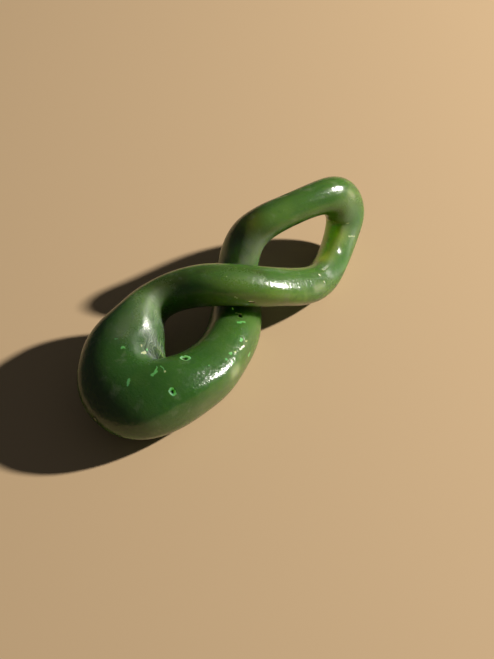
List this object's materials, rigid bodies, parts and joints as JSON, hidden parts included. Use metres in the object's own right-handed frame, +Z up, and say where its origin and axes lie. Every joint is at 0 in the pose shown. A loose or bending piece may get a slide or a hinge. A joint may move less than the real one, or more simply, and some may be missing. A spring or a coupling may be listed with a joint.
{
  "type": "jade twist pendant",
  "caption": "Carved green jade pendant: a closed strand that crosses over itself, with a thick lower loop and a slim upper eye for a cord.",
  "frame": {"origin": "centre of the pendant's footprint, on the table that it lies on", "axes": "+Y along the pendant's length, from the thick lower loop to the upper eye; +Z up from the table that it lies on; +X to the right, where the bend of the upper loop touches the table"},
  "size_m": [0.0202, 0.058, 0.015],
  "materials": {
    "jade": "polished"
  },
  "bodies": {
    "root": {"pendant": "jade"}
  },
  "joints": []
}
